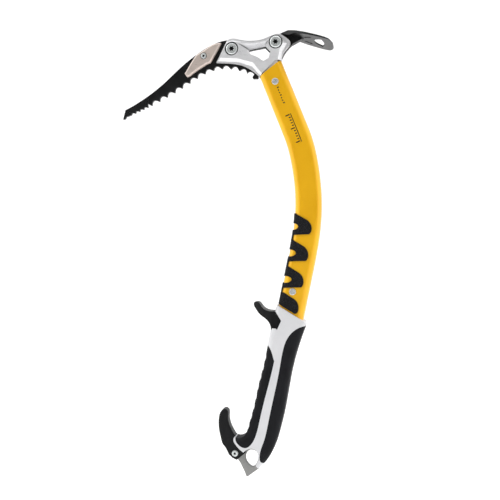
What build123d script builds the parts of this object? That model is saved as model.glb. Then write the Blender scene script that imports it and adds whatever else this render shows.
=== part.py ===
from build123d import *
import math
import os

# Technical ice axe, 50 cm class, for steep ice and mixed climbing.
# Frame: +Z up the tool, -X towards the pick tip, +X towards the adze, Y across the thickness.
# The tool's left side, seen by a climber holding it pick first, faces -Y.
# The origin is the middle of the window in the head. All lengths are millimetres.

# ---------------------------------------------------------------- driving dimensions
FIT = 0.05                  # gap between pieces that are screwed or pressed together

TUBE_T = 20.0               # shaft tube, thickness across Y
TUBE_WALL = 1.7
TUBE_EDGE_R = 7.0
TUBE_TOP_LEAN = 22.0        # degrees from vertical, upper straight run
TUBE_FOOT_LEAN = 11.6       # degrees from vertical, lower straight run

PLATE_T = 4.0               # pick, adze tang and spike are all 4 mm steel
CHEEK_T = 19.0              # head across its two bolt bosses
HEAD_RIM_T = 11.0           # head across its thinner outer rim
ARM_EDGE_T = 8.0            # top arm of the head at the window's edge

PICK_BOLT_AT = (-31.3, 6.2)
ADZE_BOLT_AT = (19.0, 12.0)
BOLT_SHANK_D = 8.0
BOLT_HEAD_D = 13.2
BOLT_HEAD_H = 3.4
COUNTERBORE_D = 15.6
HEAD_RIVET_AT = (18.6, -32.8)
HANDLE_RIVET_AT = (38.2, -268.6)
RIVET_D = 5.0
RIVET_HEAD_D = 7.6

WEIGHT_T = 4.5              # each pick weight
WEIGHT_SCREW_AT = (-64.2, 0.0)

TAPE_T = 1.0                # friction tape on the shaft

HANDLE_T = 28.0             # handle across Y
GRIP_T = 2.8                # rubber over the handle's spine
PALM_EDGE_R = 7.0           # rounding of the handle's rear edges
FINGER_EDGE_R = 6.0         # rounding of its front edges and toe
FINGER_RIBS = 8             # scallops down the front grip
RIB_PITCH = 11.4
RIB_DEPTH = 1.3
RIB_R = 7.5
RIB_START = 61.0            # down the handle's front edge to the first hollow
TRIGGER_T = 24.0
GRIPREST_T = 15.0
GRIPREST_EDGE_R = 2.4
SPIKE_SCREW_AT = (-27.4, -452.2)

os.makedirs("parts", exist_ok=True)


def lean(degrees):
    """Direction down the shaft, leaning from vertical by this angle towards +X."""
    return (math.sin(math.radians(degrees)), -math.cos(math.radians(degrees)))


def save(part, name):
    part.label = name
    export_step(part, f"parts/{name}.step")


def side_plane(y):
    """Side-view plane at this Y; its normal points to -Y."""
    return Plane.XZ.offset(-y)


# ---------------------------------------------------------------- shaft tube
# Points down each edge of the shaft, with the shaft's lean there.
FRONT_TOP = (0.6, -26.5)
FRONT_BEND = (((28.0, -94.9), TUBE_TOP_LEAN), ((36.0, -123.5), 11.5), ((40.7, -165.3), 0),
              ((31.6, -238.0), -TUBE_FOOT_LEAN))
FRONT_END = (17.3, -307.7)
REAR_TOP = (24.6, -8.4)
REAR_BEND = (((55.8, -85.5), TUBE_TOP_LEAN), ((66.6, -127.5), 9.5), ((70.2, -165.3), 0),
             ((61.2, -244.0), -TUBE_FOOT_LEAN))
REAR_END = (48.1, -307.7)
TUBE_MOUTH = (FRONT_TOP, (18.8, -9.0), (21.6, -8.0), (24.7, -8.3))   # slanting end that meets the head


def moved(point, lean_angle, across, along=0.0):
    """Point moved across the shaft, + towards the rear, and along it, + towards the foot."""
    c, s = math.cos(math.radians(lean_angle)), math.sin(math.radians(lean_angle))
    return (point[0] + across * c + along * s, point[1] + across * s - along * c)


def edge_line(top, bend, end, across, past_end):
    """One edge of the shaft in side view: straight, bend, straight."""
    start = moved(top, TUBE_TOP_LEAN, across, -past_end)
    stop = moved(end, -TUBE_FOOT_LEAN, across, past_end)
    knots = [moved(point, angle, across) for point, angle in bend]
    Line(start, knots[0])
    Spline(*knots, tangents=(lean(TUBE_TOP_LEAN), lean(-TUBE_FOOT_LEAN)))
    Line(knots[-1], stop)
    return start, stop


def tube_envelope(grow, past_end):
    """The shaft's rounded outer shape, thickened by grow and run past its two ends."""
    with BuildPart() as envelope:
        with BuildSketch(Plane.XZ):
            with BuildLine():
                front_start, front_stop = edge_line(FRONT_TOP, FRONT_BEND, FRONT_END, -grow, past_end)
                rear_start, rear_stop = edge_line(REAR_TOP, REAR_BEND, REAR_END, grow, past_end)
                Line(front_start, rear_start)
                Line(front_stop, rear_stop)
            make_face()
        extrude(amount=TUBE_T / 2 + grow, both=True)
        corners = envelope.edges().filter_by(lambda e: abs(abs(e.center().Y) - TUBE_T / 2 - grow) < 0.01)
        fillet(corners.filter_by(lambda e: e.length > 45), TUBE_EDGE_R + grow)
    return envelope.part


tube_outer = tube_envelope(0, 0)

with BuildPart() as shaft_tube:
    add(tube_outer)
    with BuildSketch(Plane.XZ):
        with BuildLine():
            Polyline(*TUBE_MOUTH, (30, -4), (0, 10), (-10, -20), close=True)
        make_face()
    extrude(amount=TUBE_T, both=True, mode=Mode.SUBTRACT)
    add(tube_envelope(-TUBE_WALL, 20), mode=Mode.SUBTRACT)
    for rivet_at in (HEAD_RIVET_AT, HANDLE_RIVET_AT):
        with BuildSketch(Plane.XZ):
            with Locations(rivet_at):
                Circle(RIVET_D / 2 + FIT)
        extrude(amount=TUBE_T, both=True, mode=Mode.SUBTRACT)


# ---------------------------------------------------------------- friction tape
def tape_lobe(anchor, reach):
    """One tongue of the tape, from its root at the front of the shaft; reach scales it sideways."""
    ax, az = anchor
    top = (ax, az)
    shoulder = (ax + 0.72 * reach, az - 7.5)
    tip = (ax + reach, az - 15.5)
    heel = (ax + 0.86 * reach, az - 23.6)
    root = (ax - 4.2, az - 24.2)
    with BuildSketch(Plane.XZ) as lobe:
        with BuildLine():
            Line(top, shoulder)
            Spline(shoulder, tip, heel, tangents=((0.8, -0.6), (-0.75, -0.66)))
            Polyline(heel, root, (ax - 22, az - 24), (ax - 18, az), top)
        make_face()
        fillet(lobe.vertices().sort_by_distance(heel)[0], 1.5)
    return lobe.sketch


TAPE_LOBES = (((40.6, -180.8), 18.8), ((38.0, -210.4), 17.6), ((33.2, -240.0), 17.0), ((28.3, -269.4), 16.4))

with BuildPart() as friction_tape:
    with BuildSketch(Plane.XZ):
        for lobe_anchor, lobe_reach in TAPE_LOBES:
            add(tape_lobe(lobe_anchor, lobe_reach))
        with BuildLine():                              # strip that joins the lobes round the front
            Spline((41.6, -180.8), (38.4, -207.5), (33.2, -236.0), (26.4, -267.0), (21.8, -286.0))
            Polyline((21.8, -286.0), (0, -286), (20, -180.8), (41.6, -180.8))
        make_face()
        with BuildLine():                              # cut off along the top edge of the handle
            Polyline((0, -269.2), (61, -305.3), (61, -330), (0, -330), close=True)
        make_face(mode=Mode.SUBTRACT)
        for lobe_anchor, _ in TAPE_LOBES[:3]:          # oval grip holes over the front
            with Locations((lobe_anchor[0] - 3.4, lobe_anchor[1] - 14.8)):
                Ellipse(7.4, 3.9, mode=Mode.SUBTRACT)
    extrude(amount=TUBE_T, both=True)
    add(tube_envelope(TAPE_T, 0), mode=Mode.INTERSECT)
    add(tube_outer, mode=Mode.SUBTRACT)


# ---------------------------------------------------------------- head
HEAD_TOP = ((-37.2, 16.4), (-31.5, 18.6), (-21.0, 16.6), (-9.0, 15.2), (3.0, 16.4), (17.7, 21.2),
            (23.6, 21.7))
HEAD_REAR = ((23.6, 21.7), (30.5, 17.0), (35.3, 11.0), (31.4, 4.8), (26.6, -1.9), (24.8, -8.2))
HEAD_LOW = ((-49.6, -8.2), (-36.0, -9.2), (-19.2, -12.6), (-9.2, -18.0), (0.3, -26.5))
WINDOW = ((-14.0, 2.6), (-11.4, 5.2), (6.8, 8.3), (13.3, 1.2), (11.0, -5.8), (5.1, -9.2), (-1.5, -4.6),
          (-11.2, -0.2))

with BuildSketch(Plane.XZ) as head_side:
    with BuildLine():
        Spline(*HEAD_TOP)
        Spline(*HEAD_REAR)
        Polyline(HEAD_REAR[-1], (21.5, -7.9), (18.7, -8.9), HEAD_LOW[-1])
        Spline(*HEAD_LOW)
        Line(HEAD_LOW[0], HEAD_TOP[0])
    make_face()

with BuildSketch(Plane.XZ) as window_side:
    with BuildLine():
        Polyline(*WINDOW, close=True)
    make_face()
    fillet(window_side.vertices(), 1.2)

# Edges of the two steel plates where they are hidden between the cheeks of the head.
PICK_HIDDEN = ((-38.7, 17.6), (-26.0, 14.6), (-19.5, 7.0), (-19.0, -2.0), (-9.0, -9.0), (-1.6, -18.5),
               (-1.6, -27.2))
TANG_HIDDEN = ((-13.0, 13.6), (-13.0, 4.3), (5.9, 7.3), (12.3, 0.8), (14.5, -4.0), (25.4, -5.6))
TANG_TOP = ((22.6, 17.0), (6.0, 12.8))


with BuildPart() as tenon:                             # tongue of the head inside the tube
    with BuildSketch(Plane.XZ):
        with BuildLine():
            Polyline((2.9, -26.8), (5.6, -19.0), (17.4, -7.6), (21.6, -6.4), (23.0, -11.0), (37.4, -47.6),
                     (14.8, -56.6), close=True)
        make_face()
    extrude(amount=TUBE_T / 2 - TUBE_WALL - FIT, both=True)
    tenon_runs = tenon.edges().filter_by(lambda e: abs(e.center().Y) > 1 and e.length > 28)
    fillet(tenon_runs, TUBE_EDGE_R - TUBE_WALL + 0.2)

with BuildPart() as head:
    with BuildSketch(Plane.XZ):
        add(head_side.sketch)
    extrude(amount=HEAD_RIM_T / 2, both=True)
    for side in (-1, 1):
        # raised field between the two bosses and down to the tube, bevelled to the rim
        with BuildSketch(side_plane(side * HEAD_RIM_T / 2)):
            with BuildLine():
                Polyline((-38.0, 14.8), (-47.6, -6.8), (-24.0, -8.6), (-8.6, -14.0), (1.4, -25.2),
                         (18.6, -8.6), (24.4, -8.2), (26.4, 1.8), (31.6, 10.6), (22.0, 19.4), (3.0, 14.6),
                         (-9.0, 13.4), (-21.0, 14.8), (-31.0, 16.6), close=True)
            make_face()
        with BuildSketch(side_plane(side * CHEEK_T / 2)):
            with BuildLine():
                Polyline((-36.4, 12.2), (-44.0, -3.8), (-24.0, -5.4), (-6.8, -10.4), (3.4, -23.0),
                         (18.0, -8.9), (21.4, -7.9), (23.4, 3.4), (27.6, 10.8), (20.0, 16.6), (3.0, 13.8),
                         (-9.0, 12.6), (-21.0, 12.8), (-31.0, 14.0), close=True)
            make_face()
        loft(ruled=True)
    # hollow bevel from the top arm down to the window
    for side in (-1, 1):
        with BuildSketch(side_plane(side * (CHEEK_T / 2 + 1))):
            with BuildLine():
                Polyline((-25.5, 12.6), (-9.0, 11.8), (3.0, 12.6), (11.5, 15.0), (6.6, 6.0), (-11.6, 3.0),
                         close=True)
            make_face()
        with BuildSketch(side_plane(side * ARM_EDGE_T / 2)):
            with BuildLine():
                Polyline((-14.0, 6.2), (-9.0, 6.2), (2.0, 7.8), (7.4, 8.8), (6.6, 6.6), (-11.6, 3.6),
                         close=True)
            make_face()
        loft(ruled=True, mode=Mode.SUBTRACT)
    add(tenon.part)
    with BuildSketch(Plane.XZ):
        add(window_side.sketch)
    extrude(amount=CHEEK_T, both=True, mode=Mode.SUBTRACT)
    # slots for the two plates
    with BuildSketch(Plane.XZ):
        with BuildLine():
            Polyline(*PICK_HIDDEN, (-1.6, -40), (-80, -40), (-80, 30), (-38.7, 30), close=True)
        make_face()
        with BuildLine():
            Polyline(*TANG_HIDDEN, (40, -5.6), (40, 30), (23.4, 30), (23.4, 22.2), *TANG_TOP, close=True)
        make_face()
        offset(amount=3 * FIT, kind=Kind.INTERSECTION)
    extrude(amount=PLATE_T / 2 + FIT, both=True, mode=Mode.SUBTRACT)
    for bolt_at in (PICK_BOLT_AT, ADZE_BOLT_AT):
        with BuildSketch(Plane.XZ):
            with Locations(bolt_at):
                Circle(BOLT_SHANK_D / 2 + FIT)
        extrude(amount=CHEEK_T, both=True, mode=Mode.SUBTRACT)
        for side in (-1, 1):
            with BuildSketch(side_plane(side * (CHEEK_T / 2 - BOLT_HEAD_H))):
                with Locations(bolt_at):
                    Circle(COUNTERBORE_D / 2)
            extrude(amount=-side * 10, mode=Mode.SUBTRACT)
    with BuildSketch(Plane.XZ):
        with Locations(HEAD_RIVET_AT):
            Circle(RIVET_D / 2 + FIT)
    extrude(amount=TUBE_T, both=True, mode=Mode.SUBTRACT)


# ---------------------------------------------------------------- pick
PICK_TOP = ((-158.3, -58.8), (-133.6, -45.0), (-112.6, -29.6), (-91.7, -11.1), (-71.0, 4.3), (-50.5, 15.0),
            (-38.7, 17.6))
PICK_TIP = (-161.1, -69.8)
TOOTH_LINE = ((-152.2, -65.0), (-122.6, -52.1), (-88.0, -33.7), (-61.9, -18.8), (-43.1, -14.4),
              (-23.7, -17.4), (-14.5, -20.9))
SMALL_TEETH = 5
LARGE_TEETH = 13
SMALL_PITCH = 5.4
SMALL_DEPTH = 1.7
LARGE_DEPTH = 3.7
TOOTH_FLAT = 1.3


def tooth_scoop(tip, next_tip, depth):
    """Hollow from one tooth tip to the next one nearer the shaft."""
    u = (next_tip - tip).normalized()
    n = Vector(-u.Y, u.X)
    start = tip + u * TOOTH_FLAT
    crest = tip + (next_tip - tip) * 0.5 + n * depth
    Line(tip, start)
    Spline(start, crest, next_tip, tangents=(u * 0.35 + n, u * 0.75 - n))


with BuildLine(Plane.XY):
    tooth_line = Spline(*TOOTH_LINE)
small_run = SMALL_PITCH * SMALL_TEETH
large_pitch = (tooth_line.length - small_run) / (LARGE_TEETH - 1)
at_length = [i * SMALL_PITCH for i in range(SMALL_TEETH)]
at_length += [small_run + i * large_pitch for i in range(LARGE_TEETH)]
tips = [tooth_line.position_at(d, position_mode=PositionMode.LENGTH) for d in at_length]

with BuildPart() as pick:
    with BuildSketch(Plane.XZ):
        with BuildLine():
            Spline(*PICK_TOP)
            Polyline(PICK_TOP[0], PICK_TIP, (-158.6, -68.9), (-157.4, -66.6), tips[0])
            for i, (tip, next_tip) in enumerate(zip(tips, tips[1:])):
                tooth_scoop(tip, next_tip, SMALL_DEPTH if i < SMALL_TEETH - 1 else LARGE_DEPTH)
            Spline(tips[-1], (-9.6, -19.4), (-6.6, -22.6), (-8.4, -25.4), tangents=((0.5, 1), (-0.4, -1)))
            Polyline((-8.4, -25.4), (-7.6, -27.4), (-2.4, -27.4), PICK_HIDDEN[-1])
            Polyline(*PICK_HIDDEN)
        make_face()
    extrude(amount=PLATE_T / 2, both=True)
    for hole_at, hole_d in ((PICK_BOLT_AT, BOLT_SHANK_D), (WEIGHT_SCREW_AT, 4.0)):
        with BuildSketch(Plane.XZ):
            with Locations(hole_at):
                Circle(hole_d / 2 + FIT)
        extrude(amount=PLATE_T, both=True, mode=Mode.SUBTRACT)


# ---------------------------------------------------------------- pick weights
WEIGHT_TOP = ((-72.3, 2.4), (-60.3, 9.2), (-50.1, 13.8), (-44.0, 13.9))
WEIGHT_LOW = ((-56.6, -8.2), (-60.3, -9.2), (-70.6, -15.3), (-80.9, -22.4))
WEIGHT_FRONT = ((-86.7, -19.4), (-80.9, -9.9), (-75.7, -2.0), (-72.3, 2.4))


def pick_weight(side):
    """Bevelled plate on one face of the pick; side is -1 for left and +1 for right."""
    inner = side * (PLATE_T / 2 + FIT)
    with BuildPart() as weight:
        with BuildSketch(side_plane(inner)):
            with BuildLine():
                Spline(*WEIGHT_TOP)
                Polyline(WEIGHT_TOP[-1], (-48.2, 5.8), (-53.8, -3.2), WEIGHT_LOW[0])
                Polyline(*WEIGHT_LOW, (-83.9, -23.4), WEIGHT_FRONT[0])
                Spline(*WEIGHT_FRONT)
            make_face()
        extrude(amount=-side * WEIGHT_T)
        outer = weight.edges().filter_by(lambda e: abs(e.center().Y - inner - side * WEIGHT_T) < 0.01)
        chamfer(outer, 1.5)
        with BuildSketch(side_plane(inner)):
            with Locations(WEIGHT_SCREW_AT):
                Circle(4.0 / 2 + FIT)
        extrude(amount=-side * 10, mode=Mode.SUBTRACT)
        with BuildSketch(side_plane(inner + side * (WEIGHT_T - 2.2))):
            with Locations(WEIGHT_SCREW_AT):
                Circle(4.0)
        extrude(amount=-side * 10, mode=Mode.SUBTRACT)
    return weight


pick_weight_left = pick_weight(-1)
pick_weight_right = pick_weight(1)


# ---------------------------------------------------------------- bolts, screws and rivets
def socket_bolt(at, seat, head_d, head_h, shank_d, shank_end, socket_af):
    """Button-headed bolt: head out from seat on the -Y side, shank to shank_end on the +Y side."""
    with BuildPart() as bolt:
        with BuildSketch(side_plane(seat)):
            with Locations(at):
                Circle(head_d / 2)
        extrude(amount=head_h)
        fillet(bolt.faces().sort_by(Axis.Y)[0].edges(), head_h * 0.35)
        with BuildSketch(side_plane(seat)):
            with Locations(at):
                Circle(shank_d / 2)
        extrude(amount=seat - shank_end)
        with BuildSketch(side_plane(seat - head_h)):
            with Locations(at):
                RegularPolygon(socket_af / 2, 6, major_radius=False)
        extrude(amount=-head_h * 0.75, mode=Mode.SUBTRACT)
    return bolt


def round_nut(at, seat, nut_d, nut_h, bore_d, slot_w):
    """Round nut seated on the +Y side, with a screwdriver slot across its face."""
    with BuildPart() as nut:
        with BuildSketch(side_plane(seat)):
            with Locations(at):
                Circle(nut_d / 2)
        extrude(amount=-nut_h)
        fillet(nut.faces().sort_by(Axis.Y)[-1].edges(), nut_h * 0.3)
        with BuildSketch(side_plane(seat)):
            with Locations(at):
                Circle(bore_d / 2 + FIT)
        extrude(amount=-nut_h, mode=Mode.SUBTRACT)
        with BuildSketch(side_plane(seat + nut_h)):
            with Locations(at):
                Rectangle(nut_d, slot_w)
        extrude(amount=nut_h * 0.3, mode=Mode.SUBTRACT)
    return nut


def rivet(at, grip, shank_d, head_d, head_h):
    """Rivet through a tube of thickness grip, with a low round head on each side."""
    with BuildPart() as pin:
        with BuildSketch(side_plane(grip / 2)):
            with Locations(at):
                Circle(shank_d / 2)
        extrude(amount=grip)
        for side in (-1, 1):
            with BuildSketch(side_plane(side * grip / 2)):
                with Locations(at):
                    Circle(head_d / 2)
            extrude(amount=-side * head_h)
        ends = pin.faces().filter_by(Plane.XZ).sort_by(Axis.Y)
        fillet(ends[0].edges() + ends[-1].edges(), head_h * 0.6)
    return pin


bolt_seat = CHEEK_T / 2 - BOLT_HEAD_H
bolt_end = bolt_seat + 3.0
pick_bolt = socket_bolt(PICK_BOLT_AT, -bolt_seat, BOLT_HEAD_D, BOLT_HEAD_H - 0.2, BOLT_SHANK_D, bolt_end, 5.5)
adze_bolt = socket_bolt(ADZE_BOLT_AT, -bolt_seat, BOLT_HEAD_D, BOLT_HEAD_H + 0.6, BOLT_SHANK_D, bolt_end, 5.5)
pick_nut = round_nut(PICK_BOLT_AT, bolt_seat, BOLT_HEAD_D, 3.2, BOLT_SHANK_D, 2.2)
adze_nut = round_nut(ADZE_BOLT_AT, bolt_seat, BOLT_HEAD_D, 3.8, BOLT_SHANK_D, 2.2)
weight_seat = PLATE_T / 2 + FIT + WEIGHT_T - 2.2
weight_screw = socket_bolt(WEIGHT_SCREW_AT, -weight_seat, 6.8, 2.0, 4.0, weight_seat + 1.8, 2.5)
weight_nut = round_nut(WEIGHT_SCREW_AT, weight_seat, 6.8, 2.0, 4.0, 1.2)
head_rivet = rivet(HEAD_RIVET_AT, TUBE_T, RIVET_D, RIVET_HEAD_D, 1.2)
handle_rivet = rivet(HANDLE_RIVET_AT, TUBE_T, RIVET_D, RIVET_HEAD_D, 1.2)


# ---------------------------------------------------------------- adze
BLADE_ROOT = (33.0, 24.3)   # top of the blade where it leaves the head
BLADE_TIP = (83.2, 7.9)     # top of the cutting edge
BLADE_T = 3.0
EDGE_T = 1.2
BLADE_HALF_W = 26.5

with BuildPart() as adze_blade:
    with BuildSketch(Plane.XZ):
        with BuildLine():
            Polyline((23.8, 22.3), (28.0, 23.6), BLADE_ROOT, BLADE_TIP, (BLADE_TIP[0], BLADE_TIP[1] - EDGE_T),
                     (40.0, 19.0), (33.4, 19.0), (26.2, 21.6), close=True)
        make_face()
    extrude(amount=BLADE_HALF_W, both=True)
    with BuildSketch(Plane.XY.offset(-20)) as blade_plan:
        with BuildLine():
            Spline((22.0, 4.2), (31.0, 7.6), (41.0, 17.0), (54.0, 23.6), (72.0, BLADE_HALF_W))
            Spline((72.0, BLADE_HALF_W), (79.6, 22.6), (82.2, 13.0), (83.2, 0), tangents=((1, 0), (0, -1)))
            Line((83.2, 0), (22.0, 0))
            Line((22.0, 0), (22.0, 4.2))
        make_face()
        mirror(about=Plane.XZ)
        with BuildLine():                              # leaf-shaped opening across the blade
            Spline((70.6, -15.5), (62.4, -6.5), (62.4, 6.5), (70.6, 15.5))
            ThreePointArc((70.6, 15.5), (73.0, 0), (70.6, -15.5))
        make_face(mode=Mode.SUBTRACT)
        for side in (-1, 1):
            with Locations(Location((54.5, side * 11.0), side * 38.0)):
                SlotOverall(11.0, 3.6, mode=Mode.SUBTRACT)
    extrude(amount=60, mode=Mode.INTERSECT)

with BuildPart() as adze:
    with BuildSketch(Plane.XZ):                        # tang between the cheeks
        with BuildLine():
            Polyline(*TANG_HIDDEN)
            Spline(TANG_HIDDEN[-1], (27.4, -1.7), (33.4, 6.1), (39.2, 10.9), (44.0, 13.2))
            Polyline((44.0, 13.2), (50.0, 16.0), (50.0, 18.0), (33.0, 23.6), (23.6, 22.2), *TANG_TOP,
                     TANG_HIDDEN[0])
        make_face()
    extrude(amount=PLATE_T / 2, both=True)
    with BuildSketch(Plane.XZ):                        # web that thickens from the tang into the blade
        with BuildLine():
            Polyline((37.0, 9.6), (39.2, 10.9), (44.0, 13.2), (50.0, 16.4), (46.0, 19.0), (37.0, 20.6),
                     close=True)
        make_face()
    extrude(amount=PLATE_T, both=True)
    add(adze_blade.part)
    with BuildSketch(Plane.XZ):
        with Locations(ADZE_BOLT_AT):
            Circle(BOLT_SHANK_D / 2 + FIT)
    extrude(amount=CHEEK_T, both=True, mode=Mode.SUBTRACT)


# ---------------------------------------------------------------- handle outlines
# The front edge runs down the fingers and out along the toe.
HANDLE_FRONT = ((20.6, -283.4), (13.2, -312.0), (9.2, -333.0), (5.0, -353.0), (0.2, -371.0), (-5.8, -398.5),
                (-12.2, -421.6), (-14.8, -428.8), (-18.4, -432.7), (-23.1, -434.4), (-28.0, -433.4))
HANDLE_REAR = ((52.8, -306.0), (45.1, -327.4), (38.6, -350.0), (34.6, -369.1), (29.2, -399.5), (23.3, -424.8),
               (15.0, -448.8), (5.7, -462.5))
HANDLE_TOP = ((52.8, -306.0), (51.4, -301.8), (20.6, -283.4))
TOE_RIM = ((-28.0, -433.4), (-28.4, -436.6), (-25.6, -441.4), (-21.5, -446.0), (-16.9, -449.6))
EYE_SIDE = ((-16.9, -449.6), (-12.6, -446.2), (-7.9, -444.9), (-3.2, -446.4), (-0.6, -450.6), (0.3, -454.8),
            (-0.6, -459.2), (-3.0, -463.8))
HANDLE_FOOT = ((-3.0, -463.8), (-0.8, -467.4), (1.8, -466.5), (5.7, -462.5))
FRONT_GRIP_TOP = ((9.0, -327.5), (12.1, -330.4), (15.5, -337.4), (18.0, -346.2))
FRONT_GRIP_BACK = ((18.0, -346.2), (13.4, -366.0), (7.4, -388.8), (2.2, -410.3), (-2.6, -429.6),
                   (-8.5, -440.6), (-13.6, -444.2), (-18.3, -443.8), (-23.0, -440.6), (-25.9, -436.6),
                   (-26.4, -431.0))
REAR_GRIP_FRONT = ((54.5, -306.6), (43.9, -309.5), (32.7, -320.7), (27.6, -335.0), (24.0, -355.0),
                   (17.2, -387.5), (11.3, -415.2), (6.2, -436.5), (1.6, -452.0), (3.0, -459.8), (7.6, -461.2))
SPINE_INSET = 3.5           # how far the spine stays inside the handle's front and rear edges


def shifted(points, dx):
    return [(x + dx, z) for x, z in points]


def at_sides(part, half_t):
    """Edges of a part that lie in its two side faces."""
    return part.edges().filter_by(lambda e: abs(abs(e.center().Y) - half_t) < 0.01)


with BuildPart() as handle_envelope:
    with BuildSketch(Plane.XZ):
        with BuildLine():
            Spline(*HANDLE_FRONT)
            Spline(*TOE_RIM)
            Spline(*EYE_SIDE)
            Polyline(*HANDLE_FOOT)
            Spline(*HANDLE_REAR[::-1])
            Polyline(*HANDLE_TOP)
        make_face()
    extrude(amount=HANDLE_T / 2, both=True)
    long_edges = at_sides(handle_envelope, HANDLE_T / 2).filter_by(lambda e: e.length > 100)
    fillet(long_edges.sort_by(Axis.X)[-2:], PALM_EDGE_R)
    long_edges = at_sides(handle_envelope, HANDLE_T / 2).filter_by(lambda e: e.length > 100)
    fillet(long_edges.sort_by(Axis.X)[:2], FINGER_EDGE_R)

TUBE_SLEEVE_FRONT = ((20.7, -284.2), (14.9, -309.5))
TUBE_SLEEVE_REAR = ((49.4, -309.5), (50.6, -302.0))
SPINE_TOE = ((-8.6, -421.6), (-12.4, -433.6), (-18.4, -438.4), (-24.4, -438.0), (-24.0, -441.4),
             (-17.2, -447.0), (-12.2, -444.4), (-2.6, -444.6), (1.2, -450.4), (1.6, -456.0), (1.0, -460.6))

with BuildPart() as spine:                             # what is left under the rubber
    with BuildSketch(Plane.XZ):
        with BuildLine():
            front = Spline(*shifted(HANDLE_FRONT[2:7], SPINE_INSET))
            Polyline(front @ 1, *SPINE_TOE[1:])
            rear = Spline(*shifted(HANDLE_REAR[1:], -SPINE_INSET)[::-1])
            Line(SPINE_TOE[-1], rear @ 0)
            Polyline(rear @ 1, *TUBE_SLEEVE_REAR, *TUBE_SLEEVE_FRONT, front @ 0)
        make_face()
    extrude(amount=HANDLE_T / 2 - GRIP_T, both=True)

# ---------------------------------------------------------------- core, spike and their pins
CORE_AXIS = ((42.9, -258.5), (33.3, -305.0), (0.6, -438.0))
CORE_T = 12.0
CORE_W = 19.0
SPIKE_TANG = ((-17.4, -451.4), (-16.0, -445.0), (-8.4, -438.0), (-4.5, -428.0), (2.0, -402.0), (12.5, -402.0),
              (8.4, -428.0), (3.4, -444.0), (1.6, -454.0), (1.2, -459.0), (0.0, -464.0), (-0.4, -469.2))
SPIKE_ARM = ((-30.4, -449.6), (-32.4, -453.6), (-27.0, -459.0), (-25.1, -460.3))
SPIKE_POINT = ((-25.1, -460.3), (-22.0, -464.8), (-17.2, -474.5), (-15.2, -479.6), (-13.6, -479.4),
               (-1.6, -470.4), (-0.4, -469.2))
EYE = ((-8.9, -449.1), (-2.6, -453.0), (-2.5, -461.0), (-7.6, -467.7), (-13.4, -464.2), (-15.9, -455.4),
       (-12.6, -449.9))
SPIKE_PINS_AT = ((7.3, -409.0), (3.4, -426.0))
SPIKE_PIN_D = 4.0
EYE_CHAMFER = 0.7

with BuildPart() as handle_core:
    with BuildSketch(Plane.XZ):
        with BuildLine():
            axis = Polyline(*CORE_AXIS)
        trace(axis, CORE_W)
    extrude(amount=CORE_T / 2, both=True)
    with BuildSketch(Plane.XZ):                        # plug that fills the foot of the tube
        with BuildLine():
            plug_axis = Line(CORE_AXIS[0], CORE_AXIS[1])
        trace(plug_axis, 26.0)
    extrude(amount=TUBE_T / 2 - TUBE_WALL - FIT, both=True)
    plug_edges = at_sides(handle_core, TUBE_T / 2 - TUBE_WALL - FIT)
    fillet(plug_edges.filter_by(lambda e: e.length > 30), TUBE_EDGE_R - TUBE_WALL)
    with BuildSketch(Plane.XZ):                        # slot for the spike's tang
        with Locations((0, SPIKE_TANG[4][1] + 1)):
            Rectangle(60, 60, align=(Align.CENTER, Align.MAX))
    extrude(amount=PLATE_T / 2 + FIT, both=True, mode=Mode.SUBTRACT)
    with BuildSketch(Plane.XZ):
        with Locations(HANDLE_RIVET_AT):
            Circle(RIVET_D / 2 + FIT)
        with Locations(*SPIKE_PINS_AT):
            Circle(SPIKE_PIN_D / 2 + FIT)
    extrude(amount=TUBE_T, both=True, mode=Mode.SUBTRACT)

with BuildPart() as spike:
    with BuildSketch(Plane.XZ):
        with BuildLine():
            Polyline(*SPIKE_TANG)
            Polyline(SPIKE_TANG[0], *SPIKE_ARM)
            Polyline(*SPIKE_POINT)
        make_face()
        with BuildLine():
            Spline(*EYE, periodic=True)
        make_face(mode=Mode.SUBTRACT)
        with Locations(SPIKE_SCREW_AT):
            Circle(4.0 / 2 + FIT, mode=Mode.SUBTRACT)
        with Locations(*SPIKE_PINS_AT):
            Circle(SPIKE_PIN_D / 2 + FIT, mode=Mode.SUBTRACT)
    extrude(amount=PLATE_T / 2, both=True)
    eye_rims = at_sides(spike, PLATE_T / 2).filter_by(lambda e: e.length > 40)
    chamfer(eye_rims, EYE_CHAMFER)

with BuildPart() as spike_pins:
    with BuildSketch(side_plane(CORE_T / 2)):
        with Locations(*SPIKE_PINS_AT):
            Circle(SPIKE_PIN_D / 2)
    extrude(amount=CORE_T)


# ---------------------------------------------------------------- griprest
GRIPREST_OUTER = ((-15.6, -451.3), (-25.5, -459.8), (-30.4, -457.7), (-34.6, -453.8), (-37.9, -447.1),
                  (-43.2, -440.4))
GRIPREST_RISE = ((-43.2, -440.4), (-46.3, -426.6), (-46.6, -413.0), (-43.6, -404.8), (-39.9, -402.5),
                 (-36.6, -404.2), (-35.7, -411.2), (-34.2, -420.4), (-30.8, -427.6), (-27.4, -433.0))
GRIPREST_FORK = ((-10, -447.0), (-32.0, -447.0), (-35.6, -453.8), (-27.0, -470), (-10, -470))
GRIPREST_SCREW_D = 4.0

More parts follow.
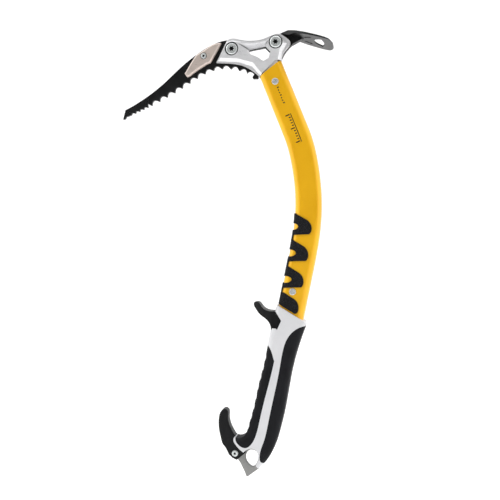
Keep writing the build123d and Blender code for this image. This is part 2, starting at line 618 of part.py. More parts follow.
with BuildPart() as griprest:
    with BuildSketch(Plane.XZ):
        with BuildLine():
            Polyline(*GRIPREST_OUTER)
            Spline(*GRIPREST_RISE)
            Polyline(GRIPREST_RISE[-1], (-15.6, -438.0), GRIPREST_OUTER[0])
        make_face()
        with BuildLine():                              # saddle that bears on the toe of the handle
            Spline(*TOE_RIM)
            Polyline(TOE_RIM[-1], (-10, -449.6), (-10, -425.0), TOE_RIM[0])
        make_face(mode=Mode.SUBTRACT)
    extrude(amount=GRIPREST_T / 2, both=True)
    rise_edges = at_sides(griprest, GRIPREST_T / 2).filter_by(lambda e: e.length > 40)
    fillet(rise_edges, GRIPREST_EDGE_R)
    with BuildSketch(Plane.XZ):                        # fork over the spike plate
        with BuildLine():
            Polyline(*GRIPREST_FORK, close=True)
        make_face()
    extrude(amount=PLATE_T / 2 + FIT, both=True, mode=Mode.SUBTRACT)
    with BuildSketch(Plane.XZ):
        with Locations(SPIKE_SCREW_AT):
            Circle(GRIPREST_SCREW_D / 2 + FIT)
    extrude(amount=GRIPREST_T, both=True, mode=Mode.SUBTRACT)

rest_face = GRIPREST_T / 2
griprest_screw = socket_bolt(SPIKE_SCREW_AT, -rest_face, 7.2, 2.0, GRIPREST_SCREW_D, rest_face + 1.6, 2.5)
griprest_nut = round_nut(SPIKE_SCREW_AT, rest_face, 7.2, 2.2, GRIPREST_SCREW_D, 1.2)


# ---------------------------------------------------------------- handle body, grips and trigger
TRIGGER_FINGER = ((14.0, -311.6), (13.0, -305.7), (9.2, -300.3), (0.4, -293.8), (-4.1, -288.0),
                  (-6.4, -283.2), (-5.5, -280.8), (-2.7, -280.2), (0.0, -281.4), (2.4, -284.6),
                  (7.4, -289.0), (12.8, -290.4), (17.6, -290.4))
TRIGGER_BACK = ((17.6, -290.4), (19.9, -291.6), (25.9, -300.9), (21.0, -311.2))
TRIGGER_NOTCH = (TRIGGER_BACK[-1], (19.6, -309.8), (15.4, -309.6), TRIGGER_FINGER[0])
TRIGGER_PLAN = ((30.0, TRIGGER_T / 2), (14.0, TRIGGER_T / 2), (5.0, 9.8), (-2.0, 7.0), (-7.0, 4.4))

with BuildLine(Plane.XY):
    finger_edge = Spline(*HANDLE_FRONT)

with BuildPart() as front_grip:
    add(handle_envelope.part)
    with BuildSketch(Plane.XZ):
        with BuildLine():
            Spline(*FRONT_GRIP_TOP)
            Spline(*FRONT_GRIP_BACK)
            Polyline(FRONT_GRIP_BACK[-1], (-30, -420), (-30, -327.5), FRONT_GRIP_TOP[0])
        make_face()
    extrude(amount=HANDLE_T, both=True, mode=Mode.INTERSECT)
    add(spine.part, mode=Mode.SUBTRACT)
    with BuildSketch(Plane.XZ):                        # hollows between the finger ribs
        for i in range(FINGER_RIBS):
            hollow = finger_edge.position_at(RIB_START + i * RIB_PITCH, position_mode=PositionMode.LENGTH)
            with Locations((hollow.X - RIB_R + RIB_DEPTH, hollow.Y + RIB_R * 0.2)):
                Circle(RIB_R)
    extrude(amount=HANDLE_T, both=True, mode=Mode.SUBTRACT)

with BuildPart() as rear_grip:
    add(handle_envelope.part)
    with BuildSketch(Plane.XZ):
        with BuildLine():
            Spline(*REAR_GRIP_FRONT)
            Polyline(REAR_GRIP_FRONT[-1], (60, -461.2), (60, -306.6), REAR_GRIP_FRONT[0])
        make_face()
    extrude(amount=HANDLE_T, both=True, mode=Mode.INTERSECT)
    add(spine.part, mode=Mode.SUBTRACT)

with BuildPart() as trigger:
    with BuildSketch(Plane.XZ) as trigger_side:
        with BuildLine():
            Spline(*TRIGGER_FINGER)
            Polyline(*TRIGGER_BACK)
            Polyline(*TRIGGER_NOTCH)
        make_face()
        fillet(trigger_side.vertices().sort_by_distance(TRIGGER_BACK[2])[0], 1.5)
    extrude(amount=TRIGGER_T, both=True)
    with BuildSketch(Plane.XY.offset(-320)):           # narrows from the handle to the finger's tip
        with BuildLine():
            plan = Polyline(*TRIGGER_PLAN)
            Polyline(plan @ 1, (-7.0, 0), (30.0, 0), plan @ 0)
        make_face()
        mirror(about=Plane.XZ)
    extrude(amount=60, mode=Mode.INTERSECT)
    add(spine.part, mode=Mode.SUBTRACT)

with BuildPart() as handle_body:
    add(handle_envelope.part)
    add(front_grip.part, mode=Mode.SUBTRACT)
    add(rear_grip.part, mode=Mode.SUBTRACT)
    with BuildSketch(Plane.XZ):
        add(trigger_side.sketch)
    extrude(amount=HANDLE_T, both=True, mode=Mode.SUBTRACT)
    add(spine.part)
    add(tube_envelope(FIT, 0.5), mode=Mode.SUBTRACT)
    with BuildSketch(Plane.XZ):
        with BuildLine():
            cavity_axis = Polyline(*CORE_AXIS)
        trace(cavity_axis, CORE_W + 2 * FIT)
    extrude(amount=CORE_T / 2 + FIT, both=True, mode=Mode.SUBTRACT)
    with BuildSketch(Plane.XZ):
        with BuildLine():
            Polyline(*SPIKE_TANG, (-1.6, -475), (-17.4, -475), close=True)
        make_face()
        offset(amount=2 * FIT, kind=Kind.INTERSECTION)
    extrude(amount=PLATE_T / 2 + FIT, both=True, mode=Mode.SUBTRACT)


# ---------------------------------------------------------------- write every piece
PIECES = {
    "shaft_tube": shaft_tube, "friction_tape": friction_tape, "head": head, "pick": pick,
    "pick_weight_left": pick_weight_left, "pick_weight_right": pick_weight_right,
    "weight_screw": weight_screw, "weight_nut": weight_nut, "pick_bolt": pick_bolt, "pick_nut": pick_nut,
    "adze": adze, "adze_bolt": adze_bolt, "adze_nut": adze_nut, "head_rivet": head_rivet,
    "handle_rivet": handle_rivet, "handle_core": handle_core, "handle_body": handle_body,
    "front_grip": front_grip, "rear_grip": rear_grip, "trigger": trigger, "griprest": griprest,
    "griprest_screw": griprest_screw, "griprest_nut": griprest_nut, "spike": spike, "spike_pins": spike_pins,
}

for piece_name, piece in PIECES.items():
    save(piece.part, piece_name)
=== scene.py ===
import math

import bmesh
import bpy
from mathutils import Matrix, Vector


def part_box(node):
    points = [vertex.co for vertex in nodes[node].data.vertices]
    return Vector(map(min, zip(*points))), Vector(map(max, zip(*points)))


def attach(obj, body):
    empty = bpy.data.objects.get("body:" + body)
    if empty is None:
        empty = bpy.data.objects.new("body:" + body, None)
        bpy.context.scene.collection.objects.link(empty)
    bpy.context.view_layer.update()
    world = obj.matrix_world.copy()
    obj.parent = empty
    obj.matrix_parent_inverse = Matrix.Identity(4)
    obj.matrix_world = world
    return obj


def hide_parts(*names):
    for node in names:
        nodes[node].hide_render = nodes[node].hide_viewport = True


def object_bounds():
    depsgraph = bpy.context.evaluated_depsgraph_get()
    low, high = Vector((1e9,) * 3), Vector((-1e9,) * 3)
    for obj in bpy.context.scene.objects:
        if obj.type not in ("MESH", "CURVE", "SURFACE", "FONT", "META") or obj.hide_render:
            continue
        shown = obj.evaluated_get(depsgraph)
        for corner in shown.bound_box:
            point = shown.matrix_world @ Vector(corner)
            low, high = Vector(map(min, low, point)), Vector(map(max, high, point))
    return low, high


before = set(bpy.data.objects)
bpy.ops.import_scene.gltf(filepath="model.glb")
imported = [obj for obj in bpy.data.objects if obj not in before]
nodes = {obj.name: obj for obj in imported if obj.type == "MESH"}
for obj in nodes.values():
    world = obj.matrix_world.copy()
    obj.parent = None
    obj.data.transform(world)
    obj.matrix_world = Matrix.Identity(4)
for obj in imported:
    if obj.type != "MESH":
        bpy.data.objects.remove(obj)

# Technical ice axe: materials, soft edges, bolt heads, black rings of painted shade round them and printed
# marks over the imported frame.
# Metres throughout, in the row's own frame: +Z up the tool, -X towards the pick, Y across the thickness.

MM = 0.001
cad_low, cad_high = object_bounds()
scene = bpy.context.scene


# ---------------------------------------------------------------- node helpers
class Graph:
    """A material's node tree with short calls for the nodes used here."""

    def __init__(self, name):
        self.material = bpy.data.materials.new(name)
        self.material.use_nodes = True
        self.tree = self.material.node_tree
        self.shader = self.tree.nodes["Principled BSDF"]
        self.position = self.new("ShaderNodeTexCoord").outputs["Object"]

    def new(self, kind, **settings):
        node = self.tree.nodes.new(kind)
        for key, value in settings.items():
            setattr(node, key, value)
        return node

    def feed(self, socket, value):
        if isinstance(value, bpy.types.NodeSocket):
            self.tree.links.new(value, socket)
        else:
            socket.default_value = value

    def mapped(self, scale, turn=(0, 0, 0)):
        node = self.new("ShaderNodeMapping")
        self.feed(node.inputs["Vector"], self.position)
        node.inputs["Scale"].default_value = scale
        node.inputs["Rotation"].default_value = turn
        return node.outputs["Vector"]

    def noise(self, scale, detail=3.0, rough=0.55, vector=None):
        node = self.new("ShaderNodeTexNoise")
        self.feed(node.inputs["Vector"], vector or self.position)
        node.inputs["Scale"].default_value = scale
        node.inputs["Detail"].default_value = detail
        node.inputs["Roughness"].default_value = rough
        return node.outputs["Fac"]

    def cells(self, scale):
        node = self.new("ShaderNodeTexVoronoi", feature="F1")
        self.feed(node.inputs["Vector"], self.position)
        node.inputs["Scale"].default_value = scale
        return node.outputs["Distance"]

    def span(self, value, low, high, to_low=0.0, to_high=1.0):
        node = self.new("ShaderNodeMapRange")
        self.feed(node.inputs["Value"], value)
        node.inputs["From Min"].default_value = low
        node.inputs["From Max"].default_value = high
        node.inputs["To Min"].default_value = to_low
        node.inputs["To Max"].default_value = to_high
        return node.outputs["Result"]

    def math(self, operation, a, b):
        node = self.new("ShaderNodeMath", operation=operation)
        self.feed(node.inputs[0], a)
        self.feed(node.inputs[1], b)
        return node.outputs[0]

    def mix(self, factor, a, b):
        node = self.new("ShaderNodeMix", data_type="RGBA")
        self.feed(node.inputs["Factor"], factor)
        self.feed(node.inputs["A"], a if isinstance(a, bpy.types.NodeSocket) else (*a, 1))
        self.feed(node.inputs["B"], b if isinstance(b, bpy.types.NodeSocket) else (*b, 1))
        return node.outputs["Result"]

    def bump(self, height, distance, strength=1.0, normal=None):
        node = self.new("ShaderNodeBump")
        self.feed(node.inputs["Height"], height)
        node.inputs["Distance"].default_value = distance
        node.inputs["Strength"].default_value = strength
        if normal is not None:
            self.feed(node.inputs["Normal"], normal)
        return node.outputs["Normal"]

    def edges(self, radius):
        """1 on sharp outer edges within this radius, 0 on open faces."""
        bevel = self.new("ShaderNodeBevel", samples=6)
        bevel.inputs["Radius"].default_value = radius
        geometry = self.new("ShaderNodeNewGeometry")
        dot = self.new("ShaderNodeVectorMath", operation="DOT_PRODUCT")
        self.feed(dot.inputs[0], bevel.outputs["Normal"])
        self.feed(dot.inputs[1], geometry.outputs["Normal"])
        return self.span(dot.outputs["Value"], 0.97, 0.75)

    def painted_hollow_shade(self, reach, low=0.35):
        """Painted shade: fades from low in narrow gaps and recesses to 1 on open faces."""
        node = self.new("ShaderNodeAmbientOcclusion", samples=6)
        node.inputs["Distance"].default_value = reach
        return self.span(node.outputs["AO"], 0.25, 0.8, low, 1.0)

    def shaded(self, color, amount):
        node = self.new("ShaderNodeMix", data_type="RGBA", blend_type="MULTIPLY")
        node.inputs["Factor"].default_value = 1.0
        self.feed(node.inputs["A"], color)
        self.feed(node.inputs["B"], amount)
        return node.outputs["Result"]

    def finish(self, color, roughness, normal=None, metallic=0.0, **sockets):
        self.feed(self.shader.inputs["Base Color"], color)
        self.feed(self.shader.inputs["Roughness"], roughness)
        self.feed(self.shader.inputs["Metallic"], metallic)
        if normal is not None:
            self.feed(self.shader.inputs["Normal"], normal)
        for key, value in sockets.items():
            self.shader.inputs[key.replace("_", " ")].default_value = value
        return self.material


# ---------------------------------------------------------------- materials
def yellow_shaft():
    g = Graph("yellow_anodised")
    grain = g.noise(900, 2, 0.5, g.mapped((1, 1, 0.05), (0, 0.15, 0)))
    cloud = g.noise(35, 4)
    color = g.mix(g.span(cloud, 0.3, 0.7), (0.86, 0.44, 0.002), (0.92, 0.49, 0.004))
    wear = g.math("MULTIPLY", g.edges(0.5 * MM), g.span(g.noise(420, 3), 0.45, 0.65))
    wear_and_painted_shade = g.mix(wear, color, (0.85, 0.60, 0.22))
    # Painted shade: the shaft's colour is darkened in gaps and recesses.
    wear_and_painted_shade = g.shaded(wear_and_painted_shade, g.painted_hollow_shade(1.6 * MM, 0.45))
    rough = g.math("ADD", g.span(grain, 0.3, 0.7, 0.27, 0.36), g.span(cloud, 0.3, 0.7, 0, 0.05))
    return g.finish(wear_and_painted_shade, rough, g.bump(grain, 0.02 * MM, 0.35), 0.25,
                    Coat_Weight=0.2, Coat_Roughness=0.2)


def grit_tape():
    g = Graph("grit_tape")
    grit = g.cells(1900)
    coarse = g.noise(700, 3, 0.7)
    sparkle = g.span(g.noise(2600, 1, 0.5), 0.66, 0.72)
    color = g.mix(g.span(coarse, 0.35, 0.7), (0.004, 0.004, 0.005), (0.013, 0.013, 0.015))
    color = g.mix(g.math("MULTIPLY", sparkle, 0.55), color, (0.16, 0.16, 0.18))
    height = g.math("ADD", g.span(grit, 0, 0.6, 1, 0), coarse)
    rough = g.span(coarse, 0.3, 0.7, 0.62, 0.9)
    return g.finish(color, rough, g.bump(height, 0.22 * MM, 0.9), 0.0, Specular_IOR_Level=0.12)


def forged_head():
    g = Graph("forged_aluminium")
    blast = g.noise(1500, 2, 0.6)
    flow = g.noise(60, 5, 0.6, g.mapped((1, 1, 2.2)))
    color = g.mix(g.span(flow, 0.3, 0.7), (0.74, 0.74, 0.755), (0.85, 0.85, 0.86))
    # Painted highlight: the colour is lightened evenly along every sharp edge.
    color = g.mix(g.math("MULTIPLY", g.edges(0.6 * MM), 0.4), color, (0.93, 0.93, 0.94))
    # Painted shade: the colour is darkened in gaps, recesses and bolt counterbores.
    color = g.shaded(color, g.painted_hollow_shade(2.5 * MM, 0.3))
    rough = g.math("ADD", g.span(blast, 0.3, 0.7, 0.24, 0.34), g.span(flow, 0.3, 0.7, 0.0, 0.08))
    return g.finish(color, rough, g.bump(blast, 0.03 * MM, 0.4, g.bump(flow, 0.15 * MM, 0.2)), 0.42)


def black_steel():
    g = Graph("black_steel")
    scale = g.noise(900, 3, 0.6)
    cloud = g.noise(70, 4)
    color = g.mix(g.span(cloud, 0.3, 0.7), (0.003, 0.0032, 0.0036), (0.009, 0.0094, 0.0102))
    wear = g.math("MULTIPLY", g.edges(0.35 * MM), g.span(g.noise(260, 4, 0.65), 0.45, 0.62))
    color = g.mix(g.math("MULTIPLY", wear, 0.6), color, (0.14, 0.14, 0.15))
    rough = g.math("ADD", g.span(scale, 0.3, 0.7, 0.30, 0.44), g.span(cloud, 0.3, 0.7, -0.03, 0.05))
    return g.finish(color, rough, g.bump(scale, 0.015 * MM, 0.3), 0.2, Specular_IOR_Level=0.35)


def weight_steel():
    g = Graph("champagne_steel")
    brush = g.noise(1200, 2, 0.5, g.mapped((0.06, 1, 1), (0, 0.62, 0)))
    cloud = g.noise(90, 4)
    color = g.mix(g.span(cloud, 0.3, 0.7), (0.58, 0.49, 0.44), (0.68, 0.585, 0.53))
    # Painted highlight: the colour is lightened evenly along every sharp edge.
    color = g.mix(g.math("MULTIPLY", g.edges(0.5 * MM), 0.7), color, (0.85, 0.78, 0.73))
    rough = g.span(brush, 0.3, 0.7, 0.26, 0.40)
    return g.finish(color, rough, g.bump(brush, 0.01 * MM, 0.3), 0.4)


def zinc_steel():
    g = Graph("zinc_steel")
    turn = g.noise(1400, 3, 0.6)
    cloud = g.noise(300, 3)
    color = g.mix(g.span(cloud, 0.3, 0.7), (0.60, 0.63, 0.625), (0.76, 0.79, 0.785))
    # Painted highlight: the colour is lightened evenly along every sharp edge.
    color = g.mix(g.math("MULTIPLY", g.edges(0.3 * MM), 0.6), color, (0.95, 0.95, 0.95))
    rough = g.span(turn, 0.3, 0.7, 0.18, 0.32)
    # Painted shade: the colour is darkened almost to black in sockets, gaps and recesses.
    return g.finish(g.shaded(color, g.painted_hollow_shade(2.0 * MM, 0.05)), rough, g.bump(turn, 0.01 * MM, 0.4), 0.6)


def spike_steel():
    g = Graph("spike_steel")
    tumble = g.noise(1100, 4, 0.65)
    brush = g.noise(700, 2, 0.5, g.mapped((1, 1, 0.08), (0, 0.5, 0)))
    color = g.mix(g.span(tumble, 0.3, 0.7), (0.24, 0.24, 0.235), (0.31, 0.31, 0.30))
    # Painted highlight: the colour is lightened evenly along every sharp edge.
    color = g.mix(g.math("MULTIPLY", g.edges(0.6 * MM), 0.75), color, (0.62, 0.58, 0.56))
    rough = g.span(brush, 0.3, 0.7, 0.36, 0.48)
    return g.finish(color, rough, g.bump(g.math("ADD", brush, tumble), 0.03 * MM, 0.5), 0.5)


def core_alloy():
    g = Graph("milled_aluminium")
    cuts = g.noise(800, 1, 0.5, g.mapped((1, 1, 0.1)))
    color = g.mix(g.span(cuts, 0.3, 0.7), (0.5, 0.5, 0.52), (0.62, 0.62, 0.64))
    return g.finish(color, g.span(cuts, 0.3, 0.7, 0.3, 0.45), g.bump(cuts, 0.03 * MM, 0.5), 0.9)


def white_nylon():
    g = Graph("light_grey_nylon")
    spark = g.noise(1700, 2, 0.6)
    cloud = g.noise(40, 3)
    color = g.mix(g.span(cloud, 0.3, 0.7), (0.61, 0.61, 0.625), (0.67, 0.67, 0.685))
    scuffs = g.math("MULTIPLY", g.span(g.noise(160, 5, 0.7), 0.62, 0.8), 0.25)
    color = g.mix(scuffs, color, (0.52, 0.51, 0.50))
    # Painted shade: the nylon's colour is darkened in gaps and recesses.
    color = g.shaded(color, g.painted_hollow_shade(1.6 * MM, 0.45))
    rough = g.math("ADD", g.span(spark, 0.3, 0.7, 0.40, 0.54), g.span(cloud, 0.3, 0.7, -0.03, 0.03))
    return g.finish(color, rough, g.bump(spark, 0.05 * MM, 0.45), 0.0)


def black_rubber():
    g = Graph("black_rubber")
    leather = g.cells(1100)
    fine = g.noise(2200, 2, 0.6)
    cloud = g.noise(55, 4)
    color = g.mix(g.span(cloud, 0.3, 0.7), (0.004, 0.0041, 0.0052), (0.009, 0.0092, 0.0115))
    rough = g.math("ADD", g.span(fine, 0.3, 0.7, 0.52, 0.68), g.span(cloud, 0.3, 0.7, -0.04, 0.05))
    height = g.math("ADD", g.span(leather, 0, 0.7, 0, 1), fine)
    return g.finish(color, rough, g.bump(height, 0.09 * MM, 0.6), 0.0, Specular_IOR_Level=0.15)


def black_nylon():
    g = Graph("black_nylon")
    spark = g.noise(1500, 2, 0.6)
    cloud = g.noise(60, 4)
    color = g.mix(g.span(cloud, 0.3, 0.7), (0.002, 0.002, 0.0025), (0.005, 0.005, 0.006))
    wear = g.math("MULTIPLY", g.edges(0.4 * MM), g.span(g.noise(300, 3), 0.4, 0.7))
    color = g.mix(wear, color, (0.05, 0.05, 0.055))
    rough = g.math("ADD", g.span(spark, 0.3, 0.7, 0.36, 0.52), g.span(cloud, 0.3, 0.7, -0.03, 0.04))
    return g.finish(color, rough, g.bump(spark, 0.05 * MM, 0.5), 0.0, Specular_IOR_Level=0.2)


def print_ink():
    g = Graph("black_print")
    speck = g.noise(2500, 3, 0.7)
    color = g.mix(g.span(speck, 0.3, 0.75), (0.004, 0.003, 0.002), (0.012, 0.008, 0.004))
    return g.finish(color, g.span(speck, 0.3, 0.7, 0.35, 0.5), g.bump(speck, 0.01 * MM, 0.4), 0.0)


def floor_paper():
    g = Graph("studio_paper")
    fibre = g.noise(300, 3)
    color = g.mix(g.span(fibre, 0.3, 0.7), (0.93, 0.93, 0.93), (0.96, 0.96, 0.96))
    return g.finish(color, g.span(fibre, 0.3, 0.7, 0.8, 0.9), g.bump(fibre, 0.05 * MM, 0.2), 0.0,
                    Emission_Color=(1, 1, 1, 1), Emission_Strength=0.18)


MATERIALS = {
    "shaft_tube": yellow_shaft(),
    "friction_tape": grit_tape(),
    "head": forged_head(),
    "pick": black_steel(),
    "pick_weight_left": weight_steel(),
    "weight_screw": zinc_steel(),
    "handle_core": core_alloy(),
    "handle_body": white_nylon(),
    "front_grip": black_rubber(),
    "trigger": black_nylon(),
    "spike": spike_steel(),
}
SAME_AS = {
    "adze": "pick",
    "pick_weight_right": "pick_weight_left",
    "rear_grip": "front_grip",
    "griprest": "trigger",
}
FASTENERS = ("weight_nut", "pick_bolt", "pick_nut", "adze_bolt", "adze_nut", "head_rivet", "handle_rivet",
             "griprest_screw", "griprest_nut", "spike_pins")
for name in FASTENERS:
    SAME_AS[name] = "weight_screw"

for name, obj in nodes.items():
    material = MATERIALS[SAME_AS.get(name, name)]
    for slot in obj.material_slots:
        slot.material = material
    if not obj.material_slots:
        obj.data.materials.append(material)


# ---------------------------------------------------------------- softened edges
WELD_DISTANCE = 0.002 * MM
SHARP_ANGLE = math.radians(32)
EDGE_WIDTH = {          # millimetres
    "head": 0.9, "pick": 0.35, "adze": 0.45, "pick_weight_left": 0.35, "pick_weight_right": 0.35,
    "spike": 0.4, "shaft_tube": 0.35, "handle_body": 0.7, "trigger": 1.4, "griprest": 1.1,
    "rear_grip": 0.6, "front_grip": 0.6, "friction_tape": 0.25, "pick_bolt": 0.25, "adze_bolt": 0.25,
    "pick_nut": 0.25, "adze_nut": 0.25,
}

for name, width in EDGE_WIDTH.items():
    weld = nodes[name].modifiers.new("joined_faces", "WELD")
    weld.merge_threshold = WELD_DISTANCE
    bevel = nodes[name].modifiers.new("soft_edges", "BEVEL")
    bevel.width = width * MM
    bevel.segments = 3
    bevel.limit_method = "ANGLE"
    bevel.angle_limit = SHARP_ANGLE
    nodes[name].modifiers.new("face_shading", "WEIGHTED_NORMAL")


# ---------------------------------------------------------------- bolt heads, painted shadow rings and printed marks
def place(name, bm, material):
    """Finishes a mesh as a piece that rides on the tool."""
    bmesh.ops.recalc_face_normals(bm, faces=bm.faces)
    mesh = bpy.data.meshes.new(name)
    bm.to_mesh(mesh)
    bm.free()
    obj = bpy.data.objects.new(name, mesh)
    obj.data.materials.append(material)
    scene.collection.objects.link(obj)
    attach(obj, "root")
    return obj


def centre_of(node):
    low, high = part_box(node)
    return (low + high) / 2


def circle(bm, middle, y, radii):
    """Closed loop of vertices round the Y axis through middle, one for each radius."""
    count = len(radii)
    angles = [2 * math.pi * i / count for i in range(count)]
    return [bm.verts.new((middle.x + r * math.cos(a), y, middle.z + r * math.sin(a)))
            for r, a in zip(radii, angles)]


def skin(bm, one, other, material_index=0):
    """Smooth band of faces between two loops."""
    for i in range(len(one)):
        j = (i + 1) % len(one)
        face = bm.faces.new((one[i], one[j], other[j], other[i]))
        face.smooth = True
        face.material_index = material_index


ROUND_STEPS = 72
LOBES = 6
# The socket's rings are given black steel: painted shade inside the socket.
SOCKET_RINGS = 3                                # rings of a bolt's profile that line its socket
SOCKET_FLUTES = (0.0, 0.20, 0.20, 0.20, 0.08)   # how deep the star cuts into each ring, from the middle out
SOCKET_DEPTH = 0.62                             # share of the head's height
LARGE_HEAD_R = 5 * MM
LARGE_HEAD_T = 4.0 * MM
SMALL_HEAD_T = 2.0 * MM
THREAD_LENGTH = 8 * MM
THREAD_PITCH = 1.0 * MM
THREAD_DEPTH = 0.35 * MM
POINT_LENGTH = 1.2 * MM


def star_bolt(node, socket_r, shank_r):
    """Button-headed bolt with a star socket painted black inside as shade, a rim ring, and rings for its
    thread.
    """
    low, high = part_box(node)
    radius = (high.x - low.x) / 2
    face = low.y
    seat = face + (LARGE_HEAD_T if radius > LARGE_HEAD_R else SMALL_HEAD_T)
    depth = SOCKET_DEPTH * (seat - face)
    thread_start = high.y - THREAD_LENGTH
    profile = [     # radius and y of each ring, from the middle of the socket out and back to the axis
        (0.35 * socket_r, face + depth),
        (0.86 * socket_r, face + depth),
        (socket_r, face + depth * 0.85),
        (socket_r, face + 0.12 * MM),
        (socket_r * 1.1, face + 0.05 * MM),
        (socket_r * 1.45, face + 0.05 * MM),
        (socket_r * 1.52, face),
        (radius * 0.80, face + 0.10 * MM),
        (radius * 0.93, face + 0.32 * MM),
        (radius, face + 0.85 * MM),
        (radius, seat),
        (shank_r, seat),
        (shank_r, thread_start),
    ]
    y = thread_start
    while y < high.y - POINT_LENGTH:
        profile += [(shank_r - THREAD_DEPTH, y + THREAD_PITCH / 2), (shank_r, y + THREAD_PITCH)]
        y += THREAD_PITCH
    profile += [(shank_r - 0.6 * MM, high.y), (shank_r * 0.3, high.y)]
    flutes = [*SOCKET_FLUTES] + [0] * (len(profile) - len(SOCKET_FLUTES))

    middle = centre_of(node)
    waves = [math.cos(LOBES * 2 * math.pi * i / ROUND_STEPS) for i in range(ROUND_STEPS)]
    bm = bmesh.new()
    rings = [circle(bm, middle, y, [r * (1 + flute * wave) for wave in waves])
             for (r, y), flute in zip(profile, flutes)]
    # Rings that line the socket, and its floor, take the black material as painted shade.
    for k, (inner, outer) in enumerate(zip(rings, rings[1:])):
        skin(bm, inner, outer, 1 if k < SOCKET_RINGS else 0)
    bm.faces.new(rings[0]).material_index = 1
    bm.faces.new(rings[-1])
    obj = place(f"star_{node}", bm, MATERIALS["weight_screw"])
    # Second material, black steel, paints the socket dark as shade.
    obj.data.materials.append(MATERIALS["pick"])
    sharp = obj.modifiers.new("crisp_edges", "EDGE_SPLIT")
    sharp.split_angle = math.radians(35)
    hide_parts(node)


star_bolt("pick_bolt", 2.5 * MM, 3.9 * MM)
star_bolt("adze_bolt", 2.5 * MM, 3.9 * MM)
star_bolt("weight_screw", 1.3 * MM, 1.9 * MM)
star_bolt("griprest_screw", 1.4 * MM, 1.9 * MM)


SHADOW_RING_STEPS = 64
SHADOW_RING_INNER_R = 6.65 * MM
SHADOW_RING_OUTER_R = 7.75 * MM
SHADOW_RING_RIM = (0.2 * MM, 0.1 * MM)       # how far in and how high the rim by the bolt head stands
SHADOW_RING_FACE = 0.9 * MM                  # below the head's outer face
SHADOW_RING_BACK = 3.3 * MM


def painted_shadow_ring(name, node):
    """Black ring of painted shade that fills the gap round a bolt head in its counterbore, where its shadow
    falls.
    """
    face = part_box("head")[0].y + SHADOW_RING_FACE
    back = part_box("head")[0].y + SHADOW_RING_BACK
    section = (
        (SHADOW_RING_INNER_R, back),
        (SHADOW_RING_INNER_R, face),
        (SHADOW_RING_INNER_R + SHADOW_RING_RIM[0], face - SHADOW_RING_RIM[1]),
        (SHADOW_RING_OUTER_R, face),
        (SHADOW_RING_OUTER_R, back),
    )
    bm = bmesh.new()
    loops = [circle(bm, centre_of(node), y, [r] * SHADOW_RING_STEPS) for r, y in section]
    for one, other in zip(loops, loops[1:] + loops[:1]):
        skin(bm, one, other)
    place(name, bm, MATERIALS["trigger"])


# Painted shade: a black ring in each bolt counterbore.
for bolt in ("pick_bolt", "adze_bolt"):
    painted_shadow_ring(f"shadow_ring_{bolt}", bolt)


INK_LIFT = 0.02 * MM
INK_T = 0.03 * MM


def printed(name, shapes, at, turn):
    """Flat printed shapes on the shaft's left face. Each shape is a list of corners in millimetres."""
    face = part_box("shaft_tube")[0].y - INK_LIFT
    c, s = math.cos(turn), math.sin(turn)
    bm = bmesh.new()
    for corners in shapes:
        bm.faces.new([bm.verts.new(((at[0] + u * c - v * s) * MM, face, (at[1] + u * s + v * c) * MM))
                      for u, v in corners])
    obj = place(name, bm, INK)
    depth = obj.modifiers.new("ink", "SOLIDIFY")
    depth.thickness = INK_T


def bar(u, v, width, height):
    return [(u, v), (u + width, v), (u + width, v + height), (u, v + height)]


INK = print_ink()
SHAFT_LEAN = math.radians(-68.0)      # marks run down the shaft's upper straight
TICK_W = 1.3                          # millimetres, like every size of a mark
SCALE_STEP = 3.1
RULER_STEP = 3.2

ticks = [bar(i * SCALE_STEP, -0.7, TICK_W, 1.4 if i % 3 else 2.2) for i in range(7)]
printed("mark_scale", ticks, (21.0, -39.2), SHAFT_LEAN)

ruler = [bar(0, 3.2, 34.0, 0.9)]
for i in range(11):
    foot, height = (0.2, 2.2) if i % 5 else (-2.6, 5.0)
    ruler.append(bar(i * RULER_STEP, foot, TICK_W, height))
printed("mark_ruler", ruler, (32.4, -70.6), SHAFT_LEAN)


# ---------------------------------------------------------------- camera, light and floor
LOOK_AT = Vector((-11.5, 0, -221.9)) * MM
CAMERA_DISTANCE = 0.900
CAMERA_AZIMUTH = math.radians(9.0)
LENS = 56.85
SENSOR = 36

camera_data = bpy.data.cameras.new("camera")
camera_data.lens = LENS
camera_data.sensor_width = SENSOR
camera = bpy.data.objects.new("camera", camera_data)
towards_camera = Vector((math.sin(CAMERA_AZIMUTH), -math.cos(CAMERA_AZIMUTH), 0))
camera.location = LOOK_AT + CAMERA_DISTANCE * towards_camera
camera.rotation_euler = (math.radians(90), 0, CAMERA_AZIMUTH)
scene.collection.objects.link(camera)
scene.camera = camera

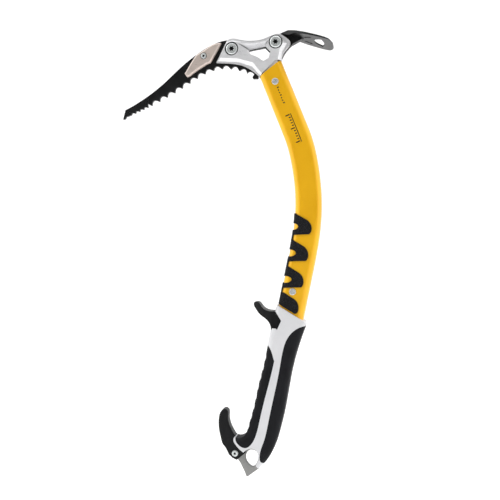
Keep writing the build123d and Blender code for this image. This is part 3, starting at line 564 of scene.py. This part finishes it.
# White room all round. It is dim behind the camera, so that black pieces stay black, and bright above,
# below, at both sides and at the back.
DIM_LIGHT = 0.14
BRIGHT_LIGHT = 1.6
BACKDROP_LIGHT = 1.0    # what the camera itself sees
world = bpy.data.worlds.new("studio")
world.use_nodes = True
tree = world.node_tree
background = tree.nodes["Background"]
background.inputs["Color"].default_value = (1, 1, 1, 1)
direction = tree.nodes.new("ShaderNodeSeparateXYZ")
tree.links.new(tree.nodes.new("ShaderNodeTexCoord").outputs["Generated"], direction.inputs[0])
ring = tree.nodes.new("ShaderNodeMapRange")
ring.interpolation_type = "SMOOTHSTEP"
tree.links.new(direction.outputs["Y"], ring.inputs["Value"])
for key, value in (("From Min", -0.92), ("From Max", -0.35), ("To Min", DIM_LIGHT), ("To Max", BRIGHT_LIGHT)):
    ring.inputs[key].default_value = value
seen = tree.nodes.new("ShaderNodeMix")
tree.links.new(tree.nodes.new("ShaderNodeLightPath").outputs["Is Camera Ray"], seen.inputs["Factor"])
tree.links.new(ring.outputs["Result"], seen.inputs["A"])
seen.inputs["B"].default_value = BACKDROP_LIGHT
tree.links.new(seen.outputs["Result"], background.inputs["Strength"])
scene.world = world
scene.view_settings.view_transform = "Standard"


def soft_light(name, at, target, size, power):
    data = bpy.data.lights.new(name, "AREA")
    data.shape = "RECTANGLE"
    data.size, data.size_y = size
    data.energy = power
    light = bpy.data.objects.new(name, data)
    light.location = at
    light.rotation_euler = (Vector(target) - Vector(at)).to_track_quat("-Z", "Y").to_euler()
    scene.collection.objects.link(light)


soft_light("key_left", (-1.2, -0.8, 0.8), (0, 0, -0.2), (0.7, 0.9), 4.0)
soft_light("top", (0.1, -0.3, 1.2), (0, 0, -0.1), (1.0, 0.5), 2.0)

FLOOR_DROP = 0.30
FLOOR_HALF_WIDTH = 4.0
SWEEP_START = 1.2
SWEEP_R = 0.8
SWEEP_STEPS = 10


def paper_sweep():
    """Floor that curves up into a backdrop."""
    turns = [math.radians(90 * i / SWEEP_STEPS) for i in range(1, SWEEP_STEPS + 1)]
    profile = [(-3.0, 0.0), (SWEEP_START, 0.0)]
    profile += [(SWEEP_START + SWEEP_R * math.sin(a), SWEEP_R - SWEEP_R * math.cos(a)) for a in turns]
    profile.append((SWEEP_START + SWEEP_R, 4.0))
    level = cad_low[2] - FLOOR_DROP
    bm = bmesh.new()
    left, right = [[bm.verts.new((x, y, level + z)) for y, z in profile]
                   for x in (-FLOOR_HALF_WIDTH, FLOOR_HALF_WIDTH)]
    for i in range(len(profile) - 1):
        bm.faces.new((left[i], right[i], right[i + 1], left[i + 1])).smooth = True
    mesh = bpy.data.meshes.new("floor")
    bm.to_mesh(mesh)
    bm.free()
    obj = bpy.data.objects.new("floor", mesh)
    obj.data.materials.append(floor_paper())
    scene.collection.objects.link(obj)
    return obj


floor = paper_sweep()


bpy.context.view_layer.update()
